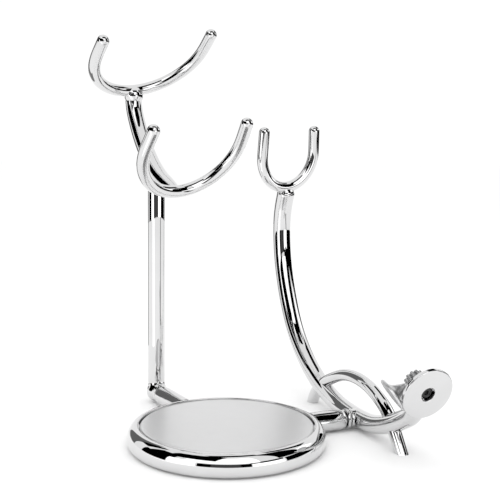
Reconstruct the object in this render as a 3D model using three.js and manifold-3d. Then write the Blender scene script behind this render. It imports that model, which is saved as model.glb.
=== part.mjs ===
// Chromed desk stand for a razor and two shaving brushes.
//
// A weighted round base carries two bent-rod stands. The rear stand is a vertical post with a curved
// arm on top that ends in two wide forks. The side stand is a long curved arm with a narrow razor fork
// at its top, a round disc at its low end and an arched pair of feet.
//
// Units are millimetres, +Z is up. The origin is the middle of the base's underside, on the table.
// +X runs along the side tab. The rear tab points 97 degrees round from +X.

import * as THREE from "three";
import { mergeVertices } from "three/addons/utils/BufferGeometryUtils.js";
import Module from "manifold-3d";

const wasm = await Module();
wasm.setup();

// ---------- driving dimensions ----------

const GAP = 0.3; // clearance between neighbouring fixed pieces
const RUNNING = 0.05; // radial clearance of a pin that turns in its bore
const ROD_R = 3.05; // radius of the post and of the fork arm
const RAZOR_ARM_R = 3.15;
const TAB_R = 3.3; // radius of the two tabs that join the stands to the base
const THIN_R = 2.1; // radius of the fork and leg rods
const RAZOR_FORK_R = 2.1; // radius of the razor fork's rod

const BASE_R = 30.75; // outer radius of the base rim
const BASE_LIFT = 0.3; // the rim hangs this far above the table; the pad touches it
const RIM_TOP = 7.0;
const RIM_WIDEST = 2.8; // height at which the rim is widest
const RIM_SHOULDER = 3.05; // how far the rim draws in from its widest line to its crest
const RIM_UNDERCUT = 1.5; // how far it draws in below its widest line
const PLATE_R = 27.0;
const PLATE_TOP = 6.7;
const PLATE_THICK = 1.1;
const PAD_R = 25.5;
const PAD_THICK = 1.2;
const WEIGHT_R = 22.4;

const TAB_Z = 3.5; // height of both tabs' axes
const REAR_ANGLE = THREE.MathUtils.degToRad(7.2); // the rear stand's turn from +Y, anticlockwise
const POST_OUT = 53.8; // base centre to post axis
const POST_FOOT = 7.1; // height of the seam between elbow and post
const POST_TOP = 82;
const ELBOW_R = 3.9; // the rounded corner below the post
const ELBOW_BEND = 4.2; // centreline radius inside the elbow
const STUD_R = 1.7;
const STUD_TOP = POST_FOOT + 9;
const ARM_STUD = { low: 70, high: 82.5 };
const ARM_TOP = 110.3; // height at which the fork arm is cut off level
const SET_SCREW = { y: 43.8, top: 78.6, length: 3.9, radius: 0.9 };
const SCREW_R = 1.4;
const SCREW_HEAD = { radius: 1.7, from: 23.5, length: 1.9 }; // the base's screws, measured from its centre
const SCREW_TIP = 36;

const SIDE_X = 46.6; // plane of the razor arm, the arch and the feet
const SIDE_TAB_END = 41.2;
const COLLAR_LENGTH = 1.2;

// Wide forks: half width between rod axes, depth of the round part, straight prong length
const UPPER_FORK = { halfWidth: 21.7, depth: 21.2, prong: 7.7, flare: -0.2, tilt: 35.3, twist: 9.6 };
const LOWER_FORK = { halfWidth: 18.4, depth: 19.1, prong: 8.4, flare: -0.7, tilt: 50.3, twist: 8.4 };
const RAZOR_FORK = {
  halfWidth: 10.7,
  depth: 12.6,
  prong: 8.8,
  flare: -0.3,
  skew: 1.3, // its lowest point lies this far to -X
  uneven: 0.5, // the +X prong is this much longer and the other this much shorter
  tilt: 85.3,
  twist: 0,
};
const UPPER_FORK_AT = [74.9, 112.8]; // distance from the base centre, height
const LOWER_FORK_AT = [35.85, 76.9];
const RAZOR_FORK_AT = [58.2, 77.3];

const DISC_AT = [SIDE_X, -39.2, 21.5]; // centre of the disc's front face
const DISC_LEAN = THREE.MathUtils.degToRad(19.3); // the face looks forward and this much down
const DISC_R = 8.3;
const DISC_THICK = 1.4;
const DISC_HOLE_R = 2.25;
const EYE_R = 4.2; // flattened end of the razor arm behind the disc
const EYE_THICK = 2.1;
const NUT_R = 3.7;
const NUT_THICK = 1.4;
const NUT_RIDGES = 16;
const BLOCK_R = 2.4; // small block on the end of the disc's screw
const BLOCK_THICK = 2.6;
const KNOB_ANGLE = 219; // degrees: the knob's direction round the disc's axis
const KNOB_OFFSET = 1.2; // the knob's axis passes this far beside the screw's axis
const KNOB_REACH = 7.8; // screw axis to the middle of the knob's flange
const KNOB_R = 5.4;
const KNOB_THICK = 1.1;

const ROD_SIDES = 14;
const ROUND_SEGMENTS = 48;
const BORE_SEGMENTS = 12;
const REACH = 200; // wider than the whole stand, for trimming blocks

// ---------- materials ----------

const CHROME = { color: 0xd8dadc, roughness: 0.06, metalness: 1 };
const SATIN = { color: 0xbfc1c3, roughness: 0.25, metalness: 1 };
const STEEL = { color: 0x8f9194, roughness: 0.35, metalness: 1 };
const RUBBER = { color: 0x202122, roughness: 0.85, metalness: 0 };

// ---------- solids ----------

function solidOf(geometry) {
  const bare = geometry.clone();
  bare.deleteAttribute("normal");
  bare.deleteAttribute("uv");
  const merged = mergeVertices(bare, 1e-4);
  return new wasm.Manifold(
    new wasm.Mesh({
      numProp: 3,
      vertProperties: merged.attributes.position.array,
      triVerts: new Uint32Array(merged.index.array),
    }),
  );
}

function geometryOf(solid) {
  const mesh = solid.getMesh();
  const geometry = new THREE.BufferGeometry();
  geometry.setAttribute("position", new THREE.BufferAttribute(mesh.vertProperties, 3));
  geometry.setIndex(new THREE.BufferAttribute(mesh.triVerts, 1));
  geometry.computeVertexNormals();
  return geometry;
}

// A round rod of one radius along a curve, with flat or domed ends.
function rodSolid(curve, radius, { steps = 24, domeStart = false, domeEnd = false } = {}) {
  const section = new THREE.Shape().absarc(0, 0, radius, 0, 2 * Math.PI, false);
  const swept = new THREE.ExtrudeGeometry(section, {
    steps,
    curveSegments: ROD_SIDES / 2,
    extrudePath: curve,
  });
  let solid = solidOf(swept);
  if (domeStart) solid = solid.add(ballSolid(curve.getPoint(0), radius * 0.98));
  if (domeEnd) solid = solid.add(ballSolid(curve.getPoint(1), radius * 0.98));
  return solid;
}

function ballSolid(centre, radius) {
  const ball = new THREE.SphereGeometry(radius, ROD_SIDES, ROD_SIDES / 2);
  return solidOf(ball.translate(centre.x, centre.y, centre.z));
}

// A solid of revolution about +Z from [radius, height] pairs that start and end on the axis.
function turnedSolid(profile, segments = ROUND_SEGMENTS) {
  const points = profile.map(([radius, height]) => new THREE.Vector2(radius, height));
  return solidOf(new THREE.LatheGeometry(points, segments).rotateX(Math.PI / 2));
}

// A block as wide as the whole stand between two heights, for trimming rods level.
function slabSolid(low, high) {
  const slab = new THREE.BoxGeometry(REACH, REACH, high - low);
  return solidOf(slab.translate(0, 0, (low + high) / 2));
}

// A plain cylinder about +Z between two heights.
function drumSolid(radius, low, high, segments = 24) {
  return turnedSolid([[0, low], [radius, low], [radius, high], [0, high]], segments);
}

// The biggest of the parts that a cut leaves.
function largestPart(solid) {
  return solid.decompose().reduce((a, b) => (a.volume() > b.volume() ? a : b));
}

function line(from, to) {
  return new THREE.LineCurve3(new THREE.Vector3(...from), new THREE.Vector3(...to));
}

// A smooth curve in the plane x = offset, through [y, z] pairs.
function planeCurve(offset, pairs) {
  return new THREE.CatmullRomCurve3(
    pairs.map(([y, z]) => new THREE.Vector3(offset, y, z)),
    false,
    "centripetal",
  );
}

// A U in the XY plane. Its lowest point is at the origin, apart from any skew, and its prongs open
// towards +Y.
class ForkCurve extends THREE.Curve {
  constructor({ halfWidth, depth, prong, flare, skew = 0, uneven = 0 }) {
    super();
    Object.assign(this, { halfWidth, depth, prong, flare, skew, uneven });
    this.bendShare = 0.8; // share of the parameter given to the round part
  }

  getPoint(t, target = new THREE.Vector3()) {
    const side = t < 0.5 ? -1 : 1;
    const along = Math.abs(2 * t - 1);
    if (along <= this.bendShare) {
      const angle = (along / this.bendShare) * (Math.PI / 2);
      const across = side * this.halfWidth * Math.sin(angle) - this.skew * Math.cos(angle);
      return target.set(across, this.depth * (1 - Math.cos(angle)), 0);
    }
    const up = (along - this.bendShare) / (1 - this.bendShare);
    const length = this.prong + side * this.uneven;
    return target.set(side * (this.halfWidth + this.flare * up), this.depth + length * up, 0);
  }
}

function forkSolid(fork, radius) {
  return rodSolid(new ForkCurve(fork), radius, { steps: 32, domeStart: true, domeEnd: true });
}

// ---------- scene graph ----------

const stand = new THREE.Group();
const rearStand = new THREE.Group();
rearStand.rotation.z = REAR_ANGLE;
const discHead = new THREE.Group();
discHead.position.set(...DISC_AT);
discHead.rotation.x = Math.PI / 2 + DISC_LEAN;
stand.add(rearStand, discHead);

function addPiece(name, solid, finish, parent = stand) {
  const mesh = new THREE.Mesh(geometryOf(solid), new THREE.MeshStandardMaterial(finish));
  mesh.name = name;
  parent.add(mesh);
  return mesh;
}

// A fork leans forward by its tilt from the horizontal and is twisted about its opening direction.
function placeFork(mesh, fork, x, [y, z]) {
  mesh.position.set(x, y, z);
  mesh.rotation.set(Math.PI - THREE.MathUtils.degToRad(fork.tilt), THREE.MathUtils.degToRad(fork.twist), 0);
}

// The same placement for a solid, so that a neighbour can be cut clear of it.
function placedFork(fork, radius, x, at) {
  const probe = new THREE.Mesh(geometryOf(forkSolid(fork, radius)));
  placeFork(probe, fork, x, at);
  probe.updateMatrixWorld();
  return solidOf(probe.geometry.applyMatrix4(probe.matrixWorld));
}

// ---------- base ----------

const ledge = PLATE_TOP - PLATE_THICK - GAP;
const cavityR = PAD_R + GAP;

// Points on a quarter of an ellipse from a start angle in degrees, anticlockwise.
function quarterArc([x, y], [across, up], start, steps) {
  const points = [];
  for (let step = 0; step <= steps; step++) {
    const angle = THREE.MathUtils.degToRad(start + (90 * step) / steps);
    points.push([x + across * Math.cos(angle), y + up * Math.sin(angle)]);
  }
  return points;
}

// The rim's outside from its foot to its crest, grown outwards by an offset.
function rimProfile(grow) {
  const undercut = [BASE_R - RIM_UNDERCUT, RIM_WIDEST];
  const shoulder = [BASE_R - RIM_SHOULDER, RIM_WIDEST];
  return [
    [cavityR, BASE_LIFT - grow],
    ...quarterArc(undercut, [RIM_UNDERCUT + grow, RIM_WIDEST - BASE_LIFT + grow], -90, 4),
    ...quarterArc(shoulder, [RIM_SHOULDER + grow, RIM_TOP - RIM_WIDEST + grow], 0, 7).slice(1),
  ];
}

const rimOutline = [
  ...rimProfile(0),
  [PLATE_R + GAP, PLATE_TOP - 0.1],
  [PLATE_R + GAP, ledge],
  [cavityR, ledge],
  [cavityR, BASE_LIFT],
];
const rimKeepOut = turnedSolid([[0, BASE_LIFT - GAP], ...rimProfile(GAP), [0, RIM_TOP + GAP]]);

// Direction of each tab's fixing screw, as a turn from +X.
const TAB_TURNS = { side: 0, rear: Math.PI / 2 + REAR_ANGLE };

// A rod along a tab's direction at the tab height.
function radialRod(turn, from, to, radius) {
  const out = (distance) => [distance * Math.cos(turn), distance * Math.sin(turn), TAB_Z];
  return rodSolid(line(out(from), out(to)), radius, { steps: 1 });
}

const DISH = 0.25; // the polished plate is this much hollow in the middle
const PLATE_EDGE = 0.8;

function buildBase() {
  let rim = turnedSolid(rimOutline);
  for (const turn of Object.values(TAB_TURNS)) {
    rim = rim.subtract(radialRod(turn, SCREW_HEAD.from, BASE_R + 1, SCREW_R + GAP));
  }
  addPiece("base_rim", rim, CHROME);

  const plate = turnedSolid([
    [0, PLATE_TOP - PLATE_THICK],
    [PLATE_R, PLATE_TOP - PLATE_THICK],
    [PLATE_R, PLATE_TOP - PLATE_EDGE],
    [PLATE_R - PLATE_EDGE, PLATE_TOP],
    [PLATE_R - 3, PLATE_TOP],
    [PLATE_R - 8, PLATE_TOP - 0.8 * DISH],
    [0, PLATE_TOP - DISH],
  ]);
  addPiece("base_plate", plate, SATIN);
  addPiece("base_weight", drumSolid(WEIGHT_R, PAD_THICK + GAP, ledge - GAP, ROUND_SEGMENTS), STEEL);
  addPiece("base_pad", drumSolid(PAD_R, 0, PAD_THICK, ROUND_SEGMENTS), RUBBER);

  for (const [side, turn] of Object.entries(TAB_TURNS)) {
    const { from, length, radius } = SCREW_HEAD;
    const head = radialRod(turn, from, from + length, radius);
    addPiece(`${side}_tab_screw`, head.add(radialRod(turn, from, SCREW_TIP, SCREW_R)), STEEL);
  }
}

// ---------- rear stand ----------
// Everything here is in the rear stand's own frame: +Y runs out from the base through the post.

const armCurve = planeCurve(0, [
  [75.2, ARM_TOP + 0.7],
  [74.2, 106.2],
  [71.6, 101.4],
  [67.0, 95.0],
  [60.6, 88.3],
  [54.0, 83.2],
  [47.2, 79.8],
  [40.4, 77.9],
]);

// A plain cylinder on the post's axis.
function postDrum(radius, low, high, segments) {
  return drumSolid(radius, low, high, segments).translate([0, POST_OUT, 0]);
}

function buildElbow() {
  const elbowCurve = planeCurve(0, [
    [BASE_R - 2, TAB_Z],
    [POST_OUT - ELBOW_BEND - 8, TAB_Z],
    [POST_OUT - ELBOW_BEND, TAB_Z],
    [POST_OUT - ELBOW_BEND * 0.3, TAB_Z + ELBOW_BEND * 0.3],
    [POST_OUT, TAB_Z + ELBOW_BEND * 0.8],
  ]);
  const corner = new THREE.Vector3(0, POST_OUT - 0.6, ELBOW_R + 0.1);
  const tab = rodSolid(line([0, BASE_R - 2, TAB_Z], [0, POST_OUT - ELBOW_BEND, TAB_Z]), TAB_R, { steps: 1 });
  const screwBore = rodSolid(line([0, 0, TAB_Z], [0, SCREW_TIP + 0.5, TAB_Z]), SCREW_R + GAP, { steps: 1 });
  const elbow = rodSolid(elbowCurve, ROD_R, { steps: 20 })
    .add(tab)
    .add(ballSolid(corner, ELBOW_R))
    .add(postDrum(ROD_R, ELBOW_R, POST_FOOT - GAP))
    .subtract(slabSolid(POST_FOOT - GAP, POST_FOOT + 20))
    .subtract(rimKeepOut)
    .subtract(postDrum(STUD_R + GAP, 3.2, POST_FOOT + 1))
    .subtract(screwBore);
  addPiece("rear_elbow", elbow, CHROME, rearStand);
  addPiece("post_stud", postDrum(STUD_R, 3.5, STUD_TOP, ROUND_SEGMENTS), STEEL, rearStand);
}

function buildPost() {
  const armKeepOut = rodSolid(armCurve, ROD_R + GAP + 0.05, { steps: 26 });
  const post = postDrum(ROD_R, POST_FOOT, POST_TOP)
    .subtract(postDrum(STUD_R + RUNNING, 0, STUD_TOP + GAP, ROUND_SEGMENTS))
    .subtract(postDrum(STUD_R + GAP, ARM_STUD.low - GAP, POST_TOP + 1, BORE_SEGMENTS))
    .subtract(armKeepOut);
  addPiece("post", post, CHROME, rearStand);
  addPiece("arm_stud", postDrum(STUD_R, ARM_STUD.low, ARM_STUD.high, BORE_SEGMENTS), STEEL, rearStand);
}

// The upright set screw that holds the lower fork in the arm's end, grown by an offset.
function setScrewSolid(grow) {
  const { y, top, length, radius } = SET_SCREW;
  return drumSolid(radius + grow, top - length, top + grow, BORE_SEGMENTS).translate([0, y, 0]);
}

function buildForkArm() {
  const arm = rodSolid(armCurve, ROD_R, { steps: 26, domeEnd: true })
    .subtract(postDrum(STUD_R + GAP, ARM_STUD.low, ARM_STUD.high + GAP, BORE_SEGMENTS))
    .subtract(placedFork(LOWER_FORK, THIN_R + GAP, 0, LOWER_FORK_AT))
    .subtract(slabSolid(ARM_TOP, ARM_TOP + 20))
    .subtract(setScrewSolid(GAP));
  addPiece("fork_arm", arm, CHROME, rearStand);
  addPiece("fork_set_screw", setScrewSolid(0), CHROME, rearStand);

  const ferrule = drumSolid(ROD_R + 0.1, ARM_TOP + GAP, UPPER_FORK_AT[1] + 0.8)
    .translate([0, UPPER_FORK_AT[0] + 0.3, 0])
    .subtract(placedFork(UPPER_FORK, THIN_R + GAP, 0, UPPER_FORK_AT));
  addPiece("upper_ferrule", largestPart(ferrule), CHROME, rearStand);
}

function buildRearStand() {
  buildElbow();
  buildPost();
  buildForkArm();
  const upper = addPiece("upper_fork", forkSolid(UPPER_FORK, THIN_R), CHROME, rearStand);
  placeFork(upper, UPPER_FORK, 0, UPPER_FORK_AT);
  const lower = addPiece("lower_fork", forkSolid(LOWER_FORK, THIN_R), CHROME, rearStand);
  placeFork(lower, LOWER_FORK, 0, LOWER_FORK_AT);
}

// ---------- side stand ----------

const razorArmCurve = planeCurve(SIDE_X, [
  [58.3, 75.6],
  [61.4, 68.8],
  [62.2, 62.0],
  [60.8, 49.8],
  [56.4, 37.0],
  [48.8, 24.0],
  [38.6, 14.6],
  [28.0, 8.6],
  [16.0, 4.9],
  [3.0, 3.45],
  [-9.5, 4.1],
  [-20.3, 7.5],
  [-27.7, 11.2],
  [-31.9, 15.4],
]);

const hoopCurve = planeCurve(SIDE_X, [
  [33.0, -2.6],
  [31.2, 3.4],
  [24.9, 8.8],
  [17.1, 12.9],
  [8.7, 15.8],
  [0.3, 16.5],
  [-8.0, 15.2],
  [-14.0, 12.8],
  [-18.4, 10.1],
  [-22.4, 5.2],
  [-27.2, -2.6],
]);

// The tab, collar and boss that run out from the base to the razor arm, and the stud inside them.
function buildSideTab() {
  const rodAlong = (from, to, radius) => radialRod(TAB_TURNS.side, from, to, radius);
  const studStart = 37.7;
  const studEnd = SIDE_X - 0.4;
  const studBore = rodAlong(studStart - GAP, studEnd + GAP, STUD_R + GAP);
  const chamfer = 0.5;
  const tab = rodAlong(BASE_R - 2, SIDE_TAB_END - chamfer, TAB_R)
    .add(rodAlong(SIDE_TAB_END - 2 * chamfer, SIDE_TAB_END, TAB_R - chamfer))
    .subtract(rimKeepOut)
    .subtract(rodAlong(0, SCREW_TIP + 0.5, SCREW_R + GAP))
    .subtract(studBore);
  addPiece("side_tab", tab, CHROME);

  const collarStart = SIDE_TAB_END + GAP;
  const collarEnd = collarStart + COLLAR_LENGTH;
  addPiece("side_collar", rodAlong(collarStart, collarEnd, TAB_R).subtract(studBore), CHROME);

  const bossStart = collarEnd + GAP;
  const boss = rodAlong(bossStart, bossStart + 2.4, ROD_R)
    .subtract(studBore)
    .subtract(rodSolid(razorArmCurve, RAZOR_ARM_R + GAP + 0.05, { steps: 40 }));
  addPiece("side_boss", boss, CHROME);
  addPiece("side_stud", rodAlong(studStart, studEnd, STUD_R), STEEL);
  return studBore;
}

// The arm's low end is flattened into a tongue with an eye for the disc's screw.
function tongueSolid() {
  const low = -DISC_THICK - GAP - EYE_THICK;
  const neck = new THREE.BoxGeometry(2 * ROD_R, 7, EYE_THICK);
  return drumSolid(EYE_R, low, low + EYE_THICK, 32)
    .add(solidOf(neck.translate(0, -4.2, low + EYE_THICK / 2)))
    .subtract(drumSolid(SCREW_R + GAP, -20, 1, 16))
    .rotate([90 + THREE.MathUtils.radToDeg(DISC_LEAN), 0, 0])
    .translate(DISC_AT);
}

// The hoop crosses the arm twice: the part above is the arch, the two ends below are the feet.
function buildHoop() {
  const hoop = rodSolid(hoopCurve, THIN_R, { steps: 36 })
    .subtract(rodSolid(razorArmCurve, RAZOR_ARM_R + GAP + 0.05, { steps: 40 }))
    .subtract(slabSolid(-20, 0));
  const middleY = (piece) => (piece.boundingBox().min[1] + piece.boundingBox().max[1]) / 2;
  const [frontFoot, arch, backFoot] = hoop.decompose().sort((a, b) => middleY(a) - middleY(b));
  addPiece("front_foot", frontFoot, CHROME);
  addPiece("leg_arch", arch, CHROME);
  addPiece("back_foot", backFoot, CHROME);
}

function buildSideStand() {
  const studBore = buildSideTab();
  const forkKeepOut = placedFork(RAZOR_FORK, RAZOR_FORK_R + GAP, SIDE_X, RAZOR_FORK_AT);
  const arm = rodSolid(razorArmCurve, RAZOR_ARM_R, { steps: 40, domeEnd: true })
    .add(tongueSolid())
    .subtract(studBore)
    .subtract(forkKeepOut);
  addPiece("razor_arm", arm, CHROME);

  const ferruleCurve = line([SIDE_X, 58.15, 75.95], [SIDE_X, 57.9, 78.2]);
  const ferrule = rodSolid(ferruleCurve, RAZOR_ARM_R, { steps: 1 }).subtract(forkKeepOut);
  addPiece("razor_ferrule", largestPart(ferrule), CHROME);
  const fork = addPiece("razor_fork", forkSolid(RAZOR_FORK, RAZOR_FORK_R), CHROME);
  placeFork(fork, RAZOR_FORK, SIDE_X, RAZOR_FORK_AT);
  buildHoop();
}

// ---------- disc head ----------
// Its own frame: +Z is the disc's outward normal and the face is at z = 0.

const HEAD_SEAT = 0.5 - DISC_THICK; // floor of the disc's counterbore
const NUT_TOP = -DISC_THICK - EYE_THICK - 2 * GAP;
const BLOCK_TOP = NUT_TOP - NUT_THICK - GAP;
const BLOCK_LOW = BLOCK_TOP - BLOCK_THICK;

function buildDisc() {
  const edge = 0.35;
  const disc = turnedSolid([
    [0, -DISC_THICK],
    [DISC_R - edge, -DISC_THICK],
    [DISC_R, -DISC_THICK + edge],
    [DISC_R, -edge],
    [DISC_R - edge, 0],
    [0, 0],
  ])
    .subtract(drumSolid(DISC_HOLE_R, HEAD_SEAT, 1))
    .subtract(drumSolid(SCREW_R + RUNNING, -5, 0, ROUND_SEGMENTS));
  addPiece("rest_disc", disc, CHROME, discHead);

  const headTop = HEAD_SEAT + 0.55;
  const screw = drumSolid(DISC_HOLE_R - 0.15, HEAD_SEAT + RUNNING, headTop)
    .add(drumSolid(SCREW_R, BLOCK_LOW + 0.4, headTop - 0.5, ROUND_SEGMENTS))
    .subtract(drumSolid(1.0, headTop - 0.4, 1, 6)); // hexagon socket
  addPiece("disc_screw", screw, STEEL, discHead);
}

function buildNut(screwBore) {
  const ridges = new THREE.Shape();
  const ridgeDepth = 0.35;
  for (let step = 0; step < 2 * NUT_RIDGES; step++) {
    const angle = (step / NUT_RIDGES) * Math.PI;
    const radius = step % 2 === 0 ? NUT_R : NUT_R - ridgeDepth;
    ridges[step === 0 ? "moveTo" : "lineTo"](radius * Math.cos(angle), radius * Math.sin(angle));
  }
  const nut = new THREE.ExtrudeGeometry(ridges, { depth: NUT_THICK, bevelEnabled: false });
  const placed = solidOf(nut.translate(0, 0, NUT_TOP - NUT_THICK));
  addPiece("disc_nut", placed.subtract(screwBore), CHROME, discHead);
}

// The knob is turned about +Z, then laid beside the screw with its flange outwards.
function buildKnob(screwBore) {
  const stemR = 0.7;
  const stemFrom = 1.6;
  const bevel = 0.3;
  const middle = (BLOCK_TOP + BLOCK_LOW) / 2;
  const layDown = (solid) =>
    solid.rotate([0, 90, 0]).translate([0, -KNOB_OFFSET, middle]).rotate([0, 0, KNOB_ANGLE]);
  const knob = turnedSolid(
    [
      [0, stemFrom],
      [stemR, stemFrom],
      [stemR, BLOCK_R + 0.7],
      [2.6, KNOB_REACH - KNOB_THICK],
      [KNOB_R - bevel, KNOB_REACH - KNOB_THICK / 2],
      [KNOB_R, KNOB_REACH - KNOB_THICK / 4],
      [KNOB_R, KNOB_REACH + KNOB_THICK / 4],
      [KNOB_R - bevel, KNOB_REACH + KNOB_THICK / 2],
      [0, KNOB_REACH + KNOB_THICK / 2],
    ],
    32,
  );
  addPiece("lock_knob", layDown(knob), CHROME, discHead);
  const stemBore = layDown(drumSolid(stemR + RUNNING, stemFrom - GAP, BLOCK_R + 1, 32));
  const block = drumSolid(BLOCK_R, BLOCK_LOW, BLOCK_TOP).subtract(screwBore).subtract(stemBore);
  addPiece("knob_block", block, SATIN, discHead);
}

function buildDiscHead() {
  const screwBore = drumSolid(SCREW_R + GAP, -20, 1, 16);
  buildDisc();
  buildNut(screwBore);
  buildKnob(screwBore);
}

buildBase();
buildRearStand();
buildSideStand();
buildDiscHead();

export default stand;
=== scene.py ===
"""Looks for the chromed razor stand: smooth rods, turned base, chrome materials, studio, camera."""

import math

import bmesh
import bpy
from mathutils import Matrix, Vector


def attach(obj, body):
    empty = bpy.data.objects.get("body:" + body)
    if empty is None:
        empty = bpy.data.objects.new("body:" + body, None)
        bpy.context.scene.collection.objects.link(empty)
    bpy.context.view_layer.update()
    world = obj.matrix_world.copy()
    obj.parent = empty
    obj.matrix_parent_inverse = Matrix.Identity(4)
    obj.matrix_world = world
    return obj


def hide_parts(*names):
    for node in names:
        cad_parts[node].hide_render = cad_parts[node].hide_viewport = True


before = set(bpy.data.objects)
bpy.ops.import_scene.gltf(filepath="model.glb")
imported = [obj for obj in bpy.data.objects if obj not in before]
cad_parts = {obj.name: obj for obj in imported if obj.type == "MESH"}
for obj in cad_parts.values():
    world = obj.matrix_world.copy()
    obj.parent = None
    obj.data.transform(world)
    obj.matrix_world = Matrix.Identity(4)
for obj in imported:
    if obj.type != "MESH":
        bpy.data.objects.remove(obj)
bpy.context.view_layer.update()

# Lengths are in millimetres up to the studio section, which is in metres.
MM = 0.001
SIDES = 40  # round a thick rod
THIN_SIDES = 32  # round a fork rod
SHARP_ANGLE = math.radians(42)  # edges sharper than this stay crisp
REAR = Matrix.Rotation(math.radians(7.2), 4, "Z")  # the rear stand's turn from +Y
SIDE_X = 46.6
TAB_Z = 3.5
TAB_R = 3.35
TAB_START = 29.3
ROD_R = 3.05
THIN_R = 2.1
RAZOR_FORK_R = 2.1
INSET = 0.16  # a joint skin starts this far inside its stem
POST_OUT = 53.8
DISC_AT = Vector((SIDE_X, -39.2, 21.5))
DISC_LEAN = math.radians(19.3)
HEAD = Matrix.Translation(DISC_AT) @ Matrix.Rotation(math.pi / 2 + DISC_LEAN, 4, "X")


# ---------- curves ----------


def catmull(points):
    """A dense centripetal Catmull-Rom curve through the points."""
    per_span = 24
    pts = [Vector(p) for p in points]
    pts = [2 * pts[0] - pts[1], *pts, 2 * pts[-1] - pts[-2]]
    out = []
    for i in range(1, len(pts) - 2):
        p0, p1, p2, p3 = pts[i - 1 : i + 3]
        d0, d1, d2 = (max((b - a).length, 1e-6) ** 0.5 for a, b in ((p0, p1), (p1, p2), (p2, p3)))
        t1 = ((p1 - p0) / d0 - (p2 - p0) / (d0 + d1) + (p2 - p1) / d1) * d1
        t2 = ((p2 - p1) / d1 - (p3 - p1) / (d1 + d2) + (p3 - p2) / d2) * d1
        for k in range(per_span):
            t = k / per_span
            out.append(
                p1 * (2 * t**3 - 3 * t**2 + 1)
                + t1 * (t**3 - 2 * t**2 + t)
                + p2 * (-2 * t**3 + 3 * t**2)
                + t2 * (t**3 - t**2)
            )
    out.append(pts[-2])
    return out


def resample(points, count):
    """The same path as count points equally far apart."""
    lengths = [0.0]
    for a, b in zip(points, points[1:]):
        lengths.append(lengths[-1] + (b - a).length)
    out, j = [], 0
    for i in range(count):
        goal = lengths[-1] * i / (count - 1)
        while j < len(points) - 2 and lengths[j + 1] < goal:
            j += 1
        span = max(lengths[j + 1] - lengths[j], 1e-9)
        out.append(points[j].lerp(points[j + 1], (goal - lengths[j]) / span))
    return out


def soften(points, rounds):
    """Evens out the curvature and keeps both ends and their directions."""
    pts = [p.copy() for p in points]
    for _ in range(rounds):
        new = [p.copy() for p in pts]
        for i in range(2, len(pts) - 2):
            new[i] = pts[i] * 0.5 + (pts[i - 1] + pts[i + 1]) * 0.25
        pts = new
    return pts


def plane_path(pairs, x=SIDE_X, count=120, rounds=30):
    """A smooth path through (y, z) pairs in the plane at x."""
    return soften(resample(catmull([(x, y, z) for y, z in pairs]), count), rounds)


def straight(start, end, steps):
    """A straight path of evenly spaced points."""
    path = []
    for k in range(steps + 1):
        path.append(Vector([a + (b - a) * k / steps for a, b in zip(start, end)]))
    return path


def fork_path(half_width, depth, prong, flare, skew=0.0, uneven=0.0):
    """A U in the XY plane with its lowest point near the origin and its prongs towards +Y."""
    steps = 59  # from the lowest point to either side
    points = [Vector((-half_width - flare, depth + prong - uneven, 0))]
    for i in range(-steps, steps + 1):
        a = math.pi / 2 * i / steps
        across = half_width * math.sin(a) - skew * math.cos(a)
        points.append(Vector((across, depth * (1 - math.cos(a)), 0)))
    points.append(Vector((half_width + flare, depth + prong + uneven, 0)))
    return soften(resample(points, 140), 40)


def ellipse(centre, across, up, start, end, steps):
    """Profile points on an ellipse, angles in degrees from the outward direction."""
    out = []
    for k in range(steps + 1):
        a = math.radians(start + (end - start) * k / steps)
        out.append((centre[0] + across * math.cos(a), centre[1] + up * math.sin(a)))
    return out


def arc(centre, radius, start, end, steps):
    return ellipse(centre, radius, radius, start, end, steps)


# ---------- meshes ----------


def piece(name, bm, material, body, *nodes, slot="chrome", matrix=None):
    """Turns a bmesh in millimetres into a smooth piece in metres that stands for CAD nodes."""
    if matrix is not None:
        bm.transform(matrix)
    bm.transform(Matrix.Scale(MM, 4))
    bmesh.ops.remove_doubles(bm, verts=bm.verts, dist=1e-8)
    bmesh.ops.recalc_face_normals(bm, faces=bm.faces)
    mesh = bpy.data.meshes.new(name)
    bm.to_mesh(mesh)
    bm.free()
    mesh.polygons.foreach_set("use_smooth", [True] * len(mesh.polygons))
    mesh.set_sharp_from_angle(angle=SHARP_ANGLE)
    obj = bpy.data.objects.new(name, mesh)
    bpy.context.scene.collection.objects.link(obj)
    mesh.materials.append(material)
    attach(obj, body)
    if nodes:
        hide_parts(*nodes)
    return obj


def skin(bm, rings, tips):
    """Joins each ring of vertices to the next and closes the two ends on the tips."""
    for a, b in zip(rings, rings[1:]):
        for j in range(len(a)):
            k = (j + 1) % len(a)
            bm.faces.new((a[j], a[k], b[k], b[j]))
    for ring, tip in zip((rings[0], rings[-1]), tips):
        hub = bm.verts.new(tip)
        for j in range(len(ring)):
            bm.faces.new((ring[j], ring[(j + 1) % len(ring)], hub))
    return bm


def cap_rings(centre, outward, r, kind, round_over):
    """(centre, radius) for the rings from a rod's full radius to its tip, domed or flat."""
    if kind == "dome":
        steps = 9
        height = 0.93  # a little flatter than a half ball
        last = 0.985  # the last ring is just short of the tip
        angles = [math.pi / 2 * k / steps for k in range(steps)] + [math.pi / 2 * last]
        return [(centre + outward * (r * height * math.sin(a)), r * math.cos(a)) for a in angles]
    steps = 5
    soft = min(round_over, r * 0.4)
    rings = []
    for k in range(steps + 1):
        a = math.pi / 2 * k / steps
        rings.append((centre - outward * (soft * (1 - math.sin(a))), r - soft * (1 - math.cos(a))))
    return rings


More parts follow.
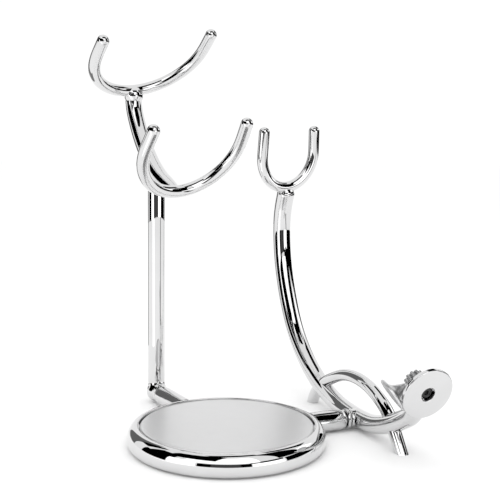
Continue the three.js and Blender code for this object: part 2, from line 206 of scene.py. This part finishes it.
def tube(path, radius, start="flat", end="flat", sides=SIDES, round_over=0.35):
    """A round rod along a path. radius is a number or a function of the share of the length."""
    bm = bmesh.new()
    rad = radius if callable(radius) else (lambda t: radius)
    last = len(path) - 1
    tangents = [(path[min(i + 1, last)] - path[max(i - 1, 0)]).normalized() for i in range(last + 1)]
    side = tangents[0].orthogonal().normalized()
    start_cap = cap_rings(path[0], -tangents[0], rad(0.0), start, round_over)
    end_cap = cap_rings(path[-1], tangents[-1], rad(1.0), end, round_over)
    between = [(path[i], rad(i / last)) for i in range(1, last)]
    stations = [*reversed(start_cap), *between, *end_cap]
    rings = []
    for k, (centre, r) in enumerate(stations):
        tangent = tangents[min(max(k - len(start_cap) + 1, 0), last)]
        side = (side - tangent * side.dot(tangent)).normalized()
        up = tangent.cross(side)
        ring = []
        for j in range(sides):
            a = 2 * math.pi * j / sides
            ring.append(bm.verts.new(centre + (side * math.cos(a) + up * math.sin(a)) * r))
        rings.append(ring)
    return skin(bm, rings, (stations[0][0], stations[-1][0]))


def strap(path, half_widths):
    """A solid swept in the side stand's plane. half_widths(t) gives (across, thick) at share t."""
    bm = bmesh.new()
    rings = []
    for i, centre in enumerate(path):
        ahead = path[min(i + 1, len(path) - 1)] - path[max(i - 1, 0)]
        normal = ahead.normalized().cross(Vector((1, 0, 0)))
        across, thick = half_widths(i / (len(path) - 1))
        ring = []
        for j in range(SIDES):
            a = 2 * math.pi * j / SIDES
            offset = Vector((across * math.cos(a), 0, 0)) + normal * (thick * math.sin(a))
            ring.append(bm.verts.new(centre + offset))
        rings.append(ring)
    return skin(bm, rings, (path[0], path[-1]))


def ball(centre, radius):
    bm = bmesh.new()
    place = Matrix.Translation(centre)
    bmesh.ops.create_uvsphere(bm, u_segments=40, v_segments=24, radius=radius, matrix=place)
    return bm


def melt(shapes, voxel, rounds):
    """Joins overlapping shapes into one skin and rounds every inner corner, as a brazed joint is."""
    bm = bmesh.new()
    for shape in shapes:
        mesh = bpy.data.meshes.new("shape")
        shape.to_mesh(mesh)
        shape.free()
        bm.from_mesh(mesh)
        bpy.data.meshes.remove(mesh)
    bmesh.ops.recalc_face_normals(bm, faces=bm.faces)
    mesh = bpy.data.meshes.new("melt")
    bm.to_mesh(mesh)
    bm.free()
    obj = bpy.data.objects.new("melt", mesh)
    bpy.context.scene.collection.objects.link(obj)
    remesh = obj.modifiers.new("skin", "REMESH")
    remesh.mode = "VOXEL"
    remesh.voxel_size = voxel
    smooth = obj.modifiers.new("round", "SMOOTH")
    smooth.factor = 0.5
    smooth.iterations = rounds
    done = bpy.data.meshes.new_from_object(obj.evaluated_get(bpy.context.evaluated_depsgraph_get()))
    bpy.data.objects.remove(obj)
    out = bmesh.new()
    out.from_mesh(done)
    bpy.data.meshes.remove(done)
    return out


def cut_below(bm, height, soft):
    """Cuts a shape off level, closes it and rounds the new edge."""
    cut = bmesh.ops.bisect_plane(
        bm,
        geom=bm.verts[:] + bm.edges[:] + bm.faces[:],
        plane_co=(0, 0, height),
        plane_no=(0, 0, -1),
        clear_outer=True,
    )
    edges = [g for g in cut["geom_cut"] if isinstance(g, bmesh.types.BMEdge)]
    bmesh.ops.holes_fill(bm, edges=edges)
    bmesh.ops.bevel(
        bm, geom=edges, offset=soft, segments=4, profile=0.5, affect="EDGES", clamp_overlap=True
    )
    return bm


def lathe(profile, segments):
    """A turned shape from (radius, height) pairs about +Z."""
    bm = bmesh.new()
    rings = []
    for radius, height in profile:
        if radius < 1e-6:
            rings.append([bm.verts.new((0, 0, height))])
            continue
        ring = []
        for j in range(segments):
            a = 2 * math.pi * j / segments
            ring.append(bm.verts.new((radius * math.cos(a), radius * math.sin(a), height)))
        rings.append(ring)
    for a, b in zip(rings, rings[1:]):
        for j in range(segments):
            k = (j + 1) % segments
            corners = [a[j % len(a)], a[k % len(a)], b[k % len(b)], b[j % len(b)]]
            unique = list(dict.fromkeys(corners))
            if len(unique) > 2:
                bm.faces.new(unique)
    return bm


def knurled(radius, low, high, ridges, depth):
    """A round nut or cap with rounded ridges round its edge and a small bevel."""
    bm = bmesh.new()
    count = ridges * 10
    bevel = 0.35
    rise = 0.22  # the bevel's height
    rings = []
    for inset, z in ((bevel, low), (0.0, low + rise), (0.0, high - rise), (bevel, high)):
        ring = []
        for j in range(count):
            a = 2 * math.pi * j / count
            r = radius - inset - depth * (0.5 - 0.5 * math.cos(a * ridges)) ** 2
            ring.append(bm.verts.new((r * math.cos(a), r * math.sin(a), z)))
        rings.append(ring)
    return skin(bm, rings, ((0, 0, low), (0, 0, high)))


# ---------- materials ----------


def node_material(name):
    mat = bpy.data.materials.new(name)
    mat.use_nodes = True
    tree = mat.node_tree
    return mat, tree, tree.nodes["Principled BSDF"]


def add(tree, kind, **values):
    """Adds a node and sets its inputs and settings by name."""
    node = tree.nodes.new(kind)
    for key, value in values.items():
        if key in node.inputs:
            node.inputs[key].default_value = value
        else:
            setattr(node, key, value)
    return node


def polished(name, tone, rough, wave, scale=160.0, drift=0.02, spread=0.5):
    """Metal with faint polishing marks, slow waves in its surface and a slight drift of tone.

    wave is the waves' height in metres, scale how fine the marks are, drift the tone's change as a
    share of tone, and spread the marks' change of roughness as a share of rough.
    """
    mat, tree, shader = node_material(name)
    link = tree.links.new
    place = add(tree, "ShaderNodeTexCoord")
    shader.inputs["Metallic"].default_value = 1.0
    # polishing marks change the roughness a little
    marks = add(tree, "ShaderNodeTexNoise", Scale=scale, Detail=4.0, Roughness=0.6)
    link(place.outputs["Object"], marks.inputs["Vector"])
    span = add(tree, "ShaderNodeMapRange")
    span.inputs["From Min"].default_value = 0.3
    span.inputs["From Max"].default_value = 0.75
    span.inputs["To Min"].default_value = rough * (1 - spread)
    span.inputs["To Max"].default_value = rough * (1 + spread)
    link(marks.outputs["Fac"], span.inputs["Value"])
    link(span.outputs["Result"], shader.inputs["Roughness"])
    # the tone drifts a little, and is slightly blue
    clouds = add(tree, "ShaderNodeTexNoise", Scale=70.0, Detail=2.0)
    link(place.outputs["Object"], clouds.inputs["Vector"])
    ramp = add(tree, "ShaderNodeValToRGB")
    low, high = tone * (1 - drift), min(tone * (1 + drift), 1)
    ramp.color_ramp.elements[0].position = 0.35
    ramp.color_ramp.elements[0].color = (low, low, low * 1.004, 1)
    ramp.color_ramp.elements[1].position = 0.65
    ramp.color_ramp.elements[1].color = (high, high, high * 1.004, 1)
    link(clouds.outputs["Fac"], ramp.inputs["Fac"])
    link(ramp.outputs["Color"], shader.inputs["Base Color"])
    # slow waves left by polishing and plating
    waves = add(tree, "ShaderNodeTexNoise", Scale=110.0, Detail=1.0)
    link(place.outputs["Object"], waves.inputs["Vector"])
    bump = add(tree, "ShaderNodeBump", Strength=1.0, Distance=wave)
    link(waves.outputs["Fac"], bump.inputs["Height"])
    link(bump.outputs["Normal"], shader.inputs["Normal"])
    return mat


def rubber():
    """Black rubber with a fine grain."""
    mat, tree, shader = node_material("pad_rubber")
    link = tree.links.new
    place = add(tree, "ShaderNodeTexCoord")
    grain = add(tree, "ShaderNodeTexNoise", Scale=1800.0, Detail=5.0)
    link(place.outputs["Object"], grain.inputs["Vector"])
    ramp = add(tree, "ShaderNodeValToRGB")
    ramp.color_ramp.elements[0].color = (0.010, 0.010, 0.011, 1)
    ramp.color_ramp.elements[1].color = (0.030, 0.030, 0.031, 1)
    link(grain.outputs["Fac"], ramp.inputs["Fac"])
    link(ramp.outputs["Color"], shader.inputs["Base Color"])
    shader.inputs["Roughness"].default_value = 0.85
    bump = add(tree, "ShaderNodeBump", Strength=0.4, Distance=0.0001)
    link(grain.outputs["Fac"], bump.inputs["Height"])
    link(bump.outputs["Normal"], shader.inputs["Normal"])
    return mat


CHROME = polished("chrome_rod", 0.70, 0.012, wave=0.000004)
CAST = polished("chrome_cast", 0.69, 0.03, wave=0.00002)
PLATE = polished("chrome_plate", 0.72, 0.36, wave=0.000002, scale=260.0, drift=0.006, spread=0.08)
STEEL = polished("screw_steel", 0.42, 0.28, wave=0.00001, scale=1500.0, drift=0.08)
# painted shade: the screw head deep in the disc's hole gets a nearly black metal that stands in for the
# shade in that recess
SCREW_PAINTED_SHADE = polished("screw_painted_shade", 0.05, 0.22, wave=0.000004, scale=1500.0, drift=0.08)
RUBBER = rubber()

# ---------- base ----------

BASE_R = 30.75
RIM_INNER = 25.8
RIM_LOW = 0.3
RIM_TOP = 7.0
RIM_WIDEST = 2.8  # the height where the rim is widest
GROOVE_R = 27.3  # the rim's wall above the groove round the plate
GROOVE_FLOOR = 5.3
LIP = 0.25  # rounds the top of that wall
LOW_ROLL = 1.5  # how far in the rim curves below its widest
TOP_ROLL = 3.05  # and above it
rim_profile = [
    (RIM_INNER, RIM_LOW),
    *ellipse((BASE_R - LOW_ROLL, RIM_WIDEST), LOW_ROLL, RIM_WIDEST - RIM_LOW, -90, 0, 12),
    *ellipse((BASE_R - TOP_ROLL, RIM_WIDEST), TOP_ROLL, RIM_TOP - RIM_WIDEST, 0, 90, 22)[1:],
    *arc((GROOVE_R + LIP, RIM_TOP - LIP), LIP, 90, 180, 5)[1:],
    (GROOVE_R, GROOVE_FLOOR),
    (RIM_INNER, GROOVE_FLOOR),
    (RIM_INNER, RIM_LOW),
]
piece("rim_shell", lathe(rim_profile, 160), CHROME, "base", "base_rim")

PLATE_R = 27.0
PLATE_LOW = 5.6
PLATE_TOP = 6.7
EDGE_ROLL = 0.9  # the plate's edge rolls down into the groove
plate_profile = [
    (0, PLATE_LOW),
    (PLATE_R, PLATE_LOW),
    *arc((PLATE_R - EDGE_ROLL, PLATE_TOP - EDGE_ROLL), EDGE_ROLL, 0, 90, 12),
    # the face is very slightly dished
    (PLATE_R - 2.0, PLATE_TOP - 0.01),
    (PLATE_R - 3.5, PLATE_TOP - 0.035),
    (PLATE_R - 7.0, PLATE_TOP - 0.10),
    (PLATE_R - 12.0, PLATE_TOP - 0.17),
    (PLATE_R - 19.0, PLATE_TOP - 0.22),
    (0, PLATE_TOP - 0.25),
]
piece("plate_face", lathe(plate_profile, 160), PLATE, "base", "base_plate", slot="plate")

# ---------- rear stand ----------

ELBOW_TOP = 6.78
elbow_path = plane_path(
    [(36.0, TAB_Z), (46.0, TAB_Z), (49.9, 3.6), (52.6, 5.0), (POST_OUT, ELBOW_TOP)],
    x=0,
    count=60,
    rounds=8,
)
elbow_shapes = [
    tube(elbow_path, ROD_R, round_over=0.1),
    tube(straight((0, TAB_START, TAB_Z), (0, 47.3, TAB_Z), 12), TAB_R, end="dome"),
    tube(straight((0, POST_OUT, 3.9), (0, POST_OUT, ELBOW_TOP), 8), ROD_R + 0.05, round_over=0.15),
    ball((0, POST_OUT - 0.6, 3.95), 3.75),
]
elbow = melt(elbow_shapes, voxel=0.16, rounds=10)
piece("elbow_rod", elbow, CAST, "base", "rear_elbow", matrix=REAR)

post_path = straight((0, POST_OUT, 7.1), (0, POST_OUT, 80.5), 40)
piece("post_rod", tube(post_path, ROD_R), CHROME, "rear_stand", "post", matrix=REAR)

arm_path = plane_path(
    [
        (74.7, 108.8),
        (74.1, 106.0),
        (71.6, 101.4),
        (67.0, 95.0),
        (60.6, 88.3),
        (54.0, 83.2),
        (47.2, 79.7),
        (39.2, 77.3),
    ],
    x=0,
)
ARM_DRAWN_FROM = 0.84  # share of the arm's length
ARM_DRAWN_BY = 0.95


def arm_radius(t):
    """The rod is drawn down over its last stretch, towards the lower fork."""
    share = max((t - ARM_DRAWN_FROM) / (1 - ARM_DRAWN_FROM), 0.0)
    return ROD_R - ARM_DRAWN_BY * share**1.5


arm = tube(arm_path, arm_radius, start="dome", end="dome")
piece("arm_rod", arm, CHROME, "rear_stand", "fork_arm", matrix=REAR)


def fork_matrix(foot, tilt, twist):
    """Puts a fork's origin at foot. tilt and twist are in degrees."""
    lean = Matrix.Rotation(math.pi - math.radians(tilt), 4, "X")
    return Matrix.Translation(Vector(foot)) @ lean @ Matrix.Rotation(math.radians(twist), 4, "Y")


def fork(name, node, body, path, radius, matrix):
    rod = tube(path, radius, start="dome", end="dome", sides=THIN_SIDES)
    piece(name, rod, CHROME, body, node, matrix=matrix)


UPPER_PLACE = fork_matrix((0, 74.9, 112.8), tilt=35.3, twist=9.6)
LOWER_PLACE = fork_matrix((0, 35.85, 76.9), tilt=50.3, twist=8.4)
RAZOR_PLACE = fork_matrix((SIDE_X, 58.2, 77.3), tilt=85.3, twist=0)
upper_path = fork_path(half_width=21.7, depth=21.2, prong=7.7, flare=-0.2)
lower_path = fork_path(half_width=18.4, depth=19.1, prong=8.4, flare=-0.7)
razor_path = fork_path(half_width=10.7, depth=12.6, prong=8.8, flare=-0.3, skew=1.3, uneven=0.5)
fork("upper_prongs", "upper_fork", "rear_stand", upper_path, THIN_R, REAR @ UPPER_PLACE)
fork("lower_prongs", "lower_fork", "rear_stand", lower_path, THIN_R, REAR @ LOWER_PLACE)
fork("razor_prongs", "razor_fork", "base", razor_path, RAZOR_FORK_R, RAZOR_PLACE)


def braze(name, body, stem, stem_r, path, radius, place, *nodes, turn=None, extra=()):
    """The smooth brazed joint between the end of a rod and the bottom of a fork."""
    half = 16  # points of the fork's path to each side of its lowest point
    middle = len(path) // 2
    stretch = [place @ p for p in path[middle - half : middle + half + 1]]
    rod = tube(stem, stem_r - INSET, start="dome", end="dome")
    fork_rod = tube(stretch, radius - INSET / 2, start="dome", end="dome")
    joint = melt([rod, fork_rod, *extra], voxel=0.12, rounds=16)
    piece(name, joint, CHROME, body, *nodes, matrix=turn)


braze(
    "upper_joint",
    "rear_stand",
    arm_path[:6],
    ROD_R,
    upper_path,
    THIN_R,
    UPPER_PLACE,
    "upper_ferrule",
    turn=REAR,
    extra=[ball((0, 74.5, 110.9), 3.5)],
)
braze("lower_joint", "rear_stand", arm_path[-14:], 2.2, lower_path, THIN_R, LOWER_PLACE, turn=REAR)

# ---------- side stand ----------

ALONG_X = Matrix.Translation((0, 0, TAB_Z)) @ Matrix.Rotation(math.pi / 2, 4, "Y")
tab_profile = [
    (0, TAB_START),
    (TAB_R, TAB_START),
    (TAB_R + 0.06, 33.0),
    (TAB_R + 0.03, 37.5),
    (TAB_R - 0.05, 39.3),
    *ellipse((TAB_R - 1.05, 39.3), 1.0, 1.9, 0, 90, 8)[1:],
    (0, 41.2),
]
piece("tab_rod", lathe(tab_profile, 96), CAST, "base", "side_tab", matrix=ALONG_X)

COLLAR_START, COLLAR_END = 41.5, 42.7
COLLAR_SOFT = 0.55
collar_profile = [
    (0, COLLAR_START),
    *arc((TAB_R - COLLAR_SOFT, COLLAR_START + COLLAR_SOFT), COLLAR_SOFT, -90, 0, 6),
    *arc((TAB_R - COLLAR_SOFT, COLLAR_END - COLLAR_SOFT), COLLAR_SOFT, 0, 90, 6),
    (0, COLLAR_END),
]
piece("collar_ring", lathe(collar_profile, 96), CAST, "base", "side_collar", matrix=ALONG_X)

razor_arm_path = plane_path(
    [
        (58.15, 77.0),
        (61.2, 69.2),
        (62.2, 62.0),
        (60.8, 49.8),
        (56.4, 37.0),
        (48.8, 24.0),
        (38.6, 14.6),
        (28.0, 8.6),
        (16.0, 4.9),
        (3.0, 3.45),
        (-9.5, 4.1),
        (-20.3, 7.5),
        (-27.7, 11.2),
        (-31.6, 13.7),
        (-34.1, 16.4),
        (-35.4, 19.2),
        (-36.6, 22.41),
    ],
    count=240,
    rounds=16,
)
RAZOR_ARM_TOP_R = 3.42
RAZOR_ARM_TAPER = 0.37  # its radius below the taper is this much smaller
TONGUE_ACROSS, TONGUE_THICK = 3.9, 1.05  # half sizes of the flat end behind the disc


def razor_arm_halves(t):
    """Slightly tapered, then round to near the disc, then a flat tongue. A dome closes the top."""
    radius = RAZOR_ARM_TOP_R - RAZOR_ARM_TAPER * min(max((t - 0.28) / 0.35, 0.0), 1.0)
    dome = 0.012  # share of the length
    if t < dome:
        radius *= math.sqrt(max(1 - (1 - t / dome) ** 2, 0.02))
    flat = min(max((t - 0.925) / 0.05, 0.0), 1.0)
    flat = flat * flat * (3 - 2 * flat)
    return radius + (TONGUE_ACROSS - radius) * flat, radius + (TONGUE_THICK - radius) * flat


razor_arm = strap(razor_arm_path, razor_arm_halves)
piece("razor_arm_rod", razor_arm, CHROME, "base", "razor_arm")

BOSS_REACH = 9  # the boss grips the arm to this far on either side
boss = tube(straight((43.0, 0, TAB_Z), (46.2, 0, TAB_Z), 6), 3.0, round_over=0.5)
boss_arm = tube([p for p in razor_arm_path if abs(p.y) < BOSS_REACH], 3.06)
boss_skin = melt([boss, boss_arm], voxel=0.13, rounds=14)
piece("boss_ring", boss_skin, CAST, "base", "side_boss")
braze(
    "razor_joint",
    "base",
    razor_arm_path[3:16],
    3.36,
    razor_path,
    RAZOR_FORK_R,
    RAZOR_PLACE,
    "razor_ferrule",
)

# the arch's path runs a little below the table at both ends, and is cut off level with it
hoop_path = plane_path(
    [
        (33.6, -2.4),
        (31.2, 3.4),
        (24.9, 8.8),
        (17.1, 12.9),
        (8.7, 15.8),
        (0.3, 16.5),
        (-8.0, 15.2),
        (-14.0, 12.8),
        (-18.4, 10.1),
        (-22.4, 5.2),
        (-27.9, -2.4),
    ],
    count=160,
)
hoop = cut_below(tube(hoop_path, THIN_R, sides=THIN_SIDES), height=0.0, soft=0.35)
piece("leg_hoop", hoop, CHROME, "base", "leg_arch", "front_foot", "back_foot")

# ---------- disc head: heights are along the disc's axis, from its face ----------

DISC_R = 8.18
DISC_BACK = -1.4
DISC_EDGE = 0.3
HOLE_R = 2.25
HOLE_EDGE = 0.18
disc_profile = [
    (HOLE_R, DISC_BACK),
    (HOLE_R, -HOLE_EDGE),
    *arc((HOLE_R + HOLE_EDGE, -HOLE_EDGE), HOLE_EDGE, 180, 90, 4),
    *arc((DISC_R - DISC_EDGE, -DISC_EDGE), DISC_EDGE, 90, 0, 6),
    *arc((DISC_R - DISC_EDGE, DISC_BACK + DISC_EDGE), DISC_EDGE, 0, -90, 6),
    (HOLE_R, DISC_BACK),
]
piece("disc_face", lathe(disc_profile, 128), CHROME, "disc", "rest_disc", matrix=HEAD)

# the arm's flat end carries an eye that the screw passes through
eye_profile = [(1.6, -3.8), (4.0, -3.8), (4.2, -3.6), (4.2, -1.9), (4.0, -1.7), (1.6, -1.7), (1.6, -3.8)]
piece("eye_ring", lathe(eye_profile, 64), CHROME, "base", matrix=HEAD)

NUT_LOW, NUT_TOP = -5.5, -4.1
nut = knurled(3.7, NUT_LOW, NUT_TOP, ridges=16, depth=0.5)
piece("nut_rim", nut, CHROME, "base", "disc_nut", matrix=HEAD)

BLOCK_LOW, BLOCK_TOP = -8.4, -5.8
block = knurled(3.35, BLOCK_LOW, BLOCK_TOP, ridges=12, depth=0.6)
piece("block_cap", block, STEEL, "base", "knob_block", slot="steel", matrix=HEAD)

screw_profile = [
    (0, -1.9),
    (0.62, -1.85),
    (0.66, -1.05),
    (0.8, -0.92),
    (1.45, -0.92),
    (1.7, -1.02),
    (1.8, -1.25),
    (1.8, -1.5),
    (1.38, -1.55),
    (1.38, -8.0),
    (0, -8.0),
]
screw = lathe(screw_profile, 64)
# the screw head carries the painted shade of the disc's hole
piece("screw_head", screw, SCREW_PAINTED_SHADE, "base", "disc_screw", slot="steel", matrix=HEAD)

KNOB_DIRECTION = math.radians(219)  # round the disc's axis
KNOB_ASIDE = 1.2  # the knob's axis passes this far beside the screw's axis
LAY_DOWN = (
    Matrix.Rotation(KNOB_DIRECTION, 4, "Z")
    @ Matrix.Translation((0, -KNOB_ASIDE, (BLOCK_TOP + BLOCK_LOW) / 2))
    @ Matrix.Rotation(math.pi / 2, 4, "Y")
)
knob_profile = [
    (0, 1.6),
    (0.68, 1.6),
    (0.68, 3.0),
    (0.85, 3.3),
    (1.3, 4.3),
    (1.9, 5.4),
    (2.5, 6.3),
    (3.2, 6.95),
    (4.2, 7.22),
    (4.9, 7.3),
    *arc((4.9, 7.8), 0.5, -90, 90, 10),
    (4.6, 8.3),
    (1.0, 8.2),
    (0, 8.18),
]
knob = lathe(knob_profile, 96)
piece("knob_flange", knob, PLATE, "knob", "lock_knob", slot="plate", matrix=HEAD @ LAY_DOWN)

# ---------- small and hidden pieces ----------

set_screw_profile = [
    (0, 74.7),
    (0.85, 74.7),
    (0.85, 78.3),
    (0.7, 78.5),
    (0.35, 78.5),
    (0.35, 78.0),
    (0, 78.0),
]
SET_SCREW_PLACE = REAR @ Matrix.Translation((0, 43.8, 0))
set_screw = lathe(set_screw_profile, 32)
piece("set_screw_pin", set_screw, CHROME, "rear_stand", "fork_set_screw", matrix=SET_SCREW_PLACE)

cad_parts["base_weight"].data.materials[0] = STEEL
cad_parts["base_pad"].data.materials[0] = RUBBER
for name in ("side_tab_screw", "rear_tab_screw", "post_stud", "arm_stud", "side_stud"):
    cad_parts[name].data.materials[0] = STEEL

# ---------- studio, in metres ----------

CAMERA_AT = (-0.09449, -0.24022, 0.08849)
CAMERA_SIDE = math.degrees(math.atan2(CAMERA_AT[1], CAMERA_AT[0]))  # its direction from the stand
MIDDLE_HEIGHT = 0.05
CARD_DISTANCE = 0.8


def glow(name, strength):
    """A plain white light of a given strength. Strength 0 is black."""
    mat = bpy.data.materials.new(name)
    mat.use_nodes = True
    tree = mat.node_tree
    tree.nodes.remove(tree.nodes["Principled BSDF"])
    emission = add(tree, "ShaderNodeEmission", Color=(1, 1, 1, 1), Strength=strength)
    tree.links.new(emission.outputs[0], tree.nodes["Material Output"].inputs["Surface"])
    return mat


def place_card(name, bm, strength, matrix=None):
    """A card shows in reflections only."""
    if matrix is not None:
        bm.transform(matrix)
    mesh = bpy.data.meshes.new(name)
    bm.to_mesh(mesh)
    bm.free()
    mesh.materials.append(glow(name, strength))
    obj = bpy.data.objects.new(name, mesh)
    bpy.context.scene.collection.objects.link(obj)
    obj.visible_camera = False
    obj.visible_diffuse = False
    obj.visible_shadow = False


def far_card(name, azimuths, elevations, strength):
    """A patch of a ball round the stand. Azimuth is counted from the camera's side, to its right."""
    bm = bmesh.new()
    rows = []
    up_steps, across_steps = 8, 16
    for i in range(up_steps + 1):
        e = math.radians(elevations[0] + (elevations[1] - elevations[0]) * i / up_steps)
        out, height = CARD_DISTANCE * math.cos(e), MIDDLE_HEIGHT + CARD_DISTANCE * math.sin(e)
        row = []
        for j in range(across_steps + 1):
            azimuth = azimuths[0] + (azimuths[1] - azimuths[0]) * j / across_steps
            a = math.radians(CAMERA_SIDE + azimuth)
            row.append(bm.verts.new((out * math.cos(a), out * math.sin(a), height)))
        rows.append(row)
    for a, b in zip(rows, rows[1:]):
        for j in range(across_steps):
            bm.faces.new((a[j], a[j + 1], b[j + 1], b[j]))
    place_card(name, bm, strength)


# Soft boxes and black flags round the stand: azimuths and elevations in degrees, strength
FAR_CARDS = {
    "flag_behind_left": ((-150, -124), (-3, 45), 0.15),
    "flag_left": ((-106, -69), (-3, 22), 0.0),
    "flag_left_high": ((-100, -62), (22, 45), 0.0),
    "box_left": ((-68, -34), (-3, 23), 2.0),
    "flag_front_left": ((-32, -17), (-3, 15), 0.0),
    "flag_front": ((-17, 15), (-3, 15), 0.07),
    "flag_front_right": ((15, 27), (-3, 15), 0.0),
    "box_right": ((28, 66), (-3, 12), 2.0),
    "flag_right_arch": ((26, 66), (13, 21), 0.0),
    "flag_right": ((68, 108), (-3, 18), 0.0),
    "flag_far_right": ((108, 145), (-3, 14), 0.0),
    "box_front": ((-50, 38), (18, 60), 1.7),
    "box_far_right": ((92, 122), (20, 38), 1.7),
}
for card_name, (azimuths, elevations, strength) in FAR_CARDS.items():
    far_card(card_name, azimuths, elevations, strength)


def near_flag(name, centre, target, width, height):
    """A small black rectangle close to the stand that faces a point on it."""
    bm = bmesh.new()
    x, y = width / 2, height / 2
    bm.faces.new([bm.verts.new(corner) for corner in ((-x, -y, 0), (x, -y, 0), (x, y, 0), (-x, y, 0))])
    turn = (Vector(target) - Vector(centre)).to_track_quat("Z", "Y").to_matrix().to_4x4()
    place_card(name, bm, 0.0, Matrix.Translation(centre) @ turn)


# These are high enough to stay out of the base's reflections
ROD_MIDDLE = (0.046, 0.05, 0.04)
FORK_MIDDLE = (0.0, 0.06, 0.09)
near_flag("flag_near_left", (-0.096, -0.044, 0.146), ROD_MIDDLE, width=0.145, height=0.115)
near_flag("flag_near_right", (0.135, -0.075, 0.169), ROD_MIDDLE, width=0.12, height=0.2)
near_flag("flag_overhead", (0.0, -0.04, 0.27), FORK_MIDDLE, width=0.16, height=0.09)
near_flag("flag_back_left", (-0.143, 0.158, 0.19), FORK_MIDDLE, width=0.08, height=0.13)
near_flag("flag_back_right", (0.153, 0.069, 0.219), FORK_MIDDLE, width=0.09, height=0.12)

STRIP_CENTRE_Y = 0.05
STRIP_HEIGHT = 0.0006  # just above the floor
STRIP_FAR = 1.4


def floor_strip(name, azimuths, near, strength):
    """A wedge that lies on the floor and points away from the stand. Upright rods show it as a line."""
    bm = bmesh.new()
    first, last = azimuths
    verts = []
    for reach, azimuth in ((near, first), (STRIP_FAR, first), (STRIP_FAR, last), (near, last)):
        a = math.radians(CAMERA_SIDE + azimuth)
        x, y = reach * math.cos(a), STRIP_CENTRE_Y + reach * math.sin(a)
        verts.append(bm.verts.new((x, y, STRIP_HEIGHT)))
    bm.faces.new(verts)
    place_card(name, bm, strength)


floor_strip("strip_left_edge", (-142, -122), near=0.1, strength=0.25)
floor_strip("strip_left", (-50, -20), near=0.1, strength=1.6)
floor_strip("strip_right", (56, 64), near=0.14, strength=0.1)

lamp_data = bpy.data.lights.new("overhead", "AREA")
lamp_data.shape = "DISK"
lamp_data.size = 0.9
lamp_data.energy = 2.2
lamp = bpy.data.objects.new("overhead", lamp_data)
lamp.location = (-0.15, -0.1, 1.1)
to_stand = Vector((0, 0, MIDDLE_HEIGHT)) - lamp.location
lamp.rotation_euler = to_stand.to_track_quat("-Z", "Y").to_euler()
lamp.visible_glossy = False
bpy.context.scene.collection.objects.link(lamp)

world = bpy.data.worlds.new("studio")
bpy.context.scene.world = world
world.use_nodes = True
background = world.node_tree.nodes["Background"]
background.inputs["Color"].default_value = (1, 1, 1, 1)
background.inputs["Strength"].default_value = 1.035

FLOOR_HALF = 12.0
floor_bm = bmesh.new()
bmesh.ops.create_grid(floor_bm, x_segments=8, y_segments=8, size=FLOOR_HALF)
floor_mesh = bpy.data.meshes.new("floor")
floor_bm.to_mesh(floor_mesh)
floor_bm.free()
floor_mat, _, floor_shader = node_material("floor_white")
floor_shader.inputs["Base Color"].default_value = (0.97, 0.97, 0.97, 1)
floor_shader.inputs["Roughness"].default_value = 1.0
floor_shader.inputs["Specular IOR Level"].default_value = 0.0
floor_mesh.materials.append(floor_mat)
floor = bpy.data.objects.new("floor", floor_mesh)
bpy.context.scene.collection.objects.link(floor)

camera_data = bpy.data.cameras.new("camera")
camera_data.lens = 61.68
camera_data.sensor_width = 36
camera_data.clip_start = 0.01
camera = bpy.data.objects.new("camera", camera_data)
bpy.context.scene.collection.objects.link(camera)
turn = math.radians(-22.91)  # left or right of +Y
drop = math.radians(6.13)  # down from the horizontal
roll = math.radians(0.69)
forward = Vector((-math.sin(turn) * math.cos(drop), math.cos(turn) * math.cos(drop), -math.sin(drop)))
level = Vector((math.cos(turn), math.sin(turn), 0))
upright = level.cross(forward)
right = level * math.cos(roll) + upright * math.sin(roll)
above = upright * math.cos(roll) - level * math.sin(roll)
axes = Matrix((right, above, -forward)).transposed().to_4x4()
camera.matrix_world = Matrix.Translation(CAMERA_AT) @ axes
bpy.context.scene.camera = camera
bpy.context.scene.view_settings.view_transform = "Standard"
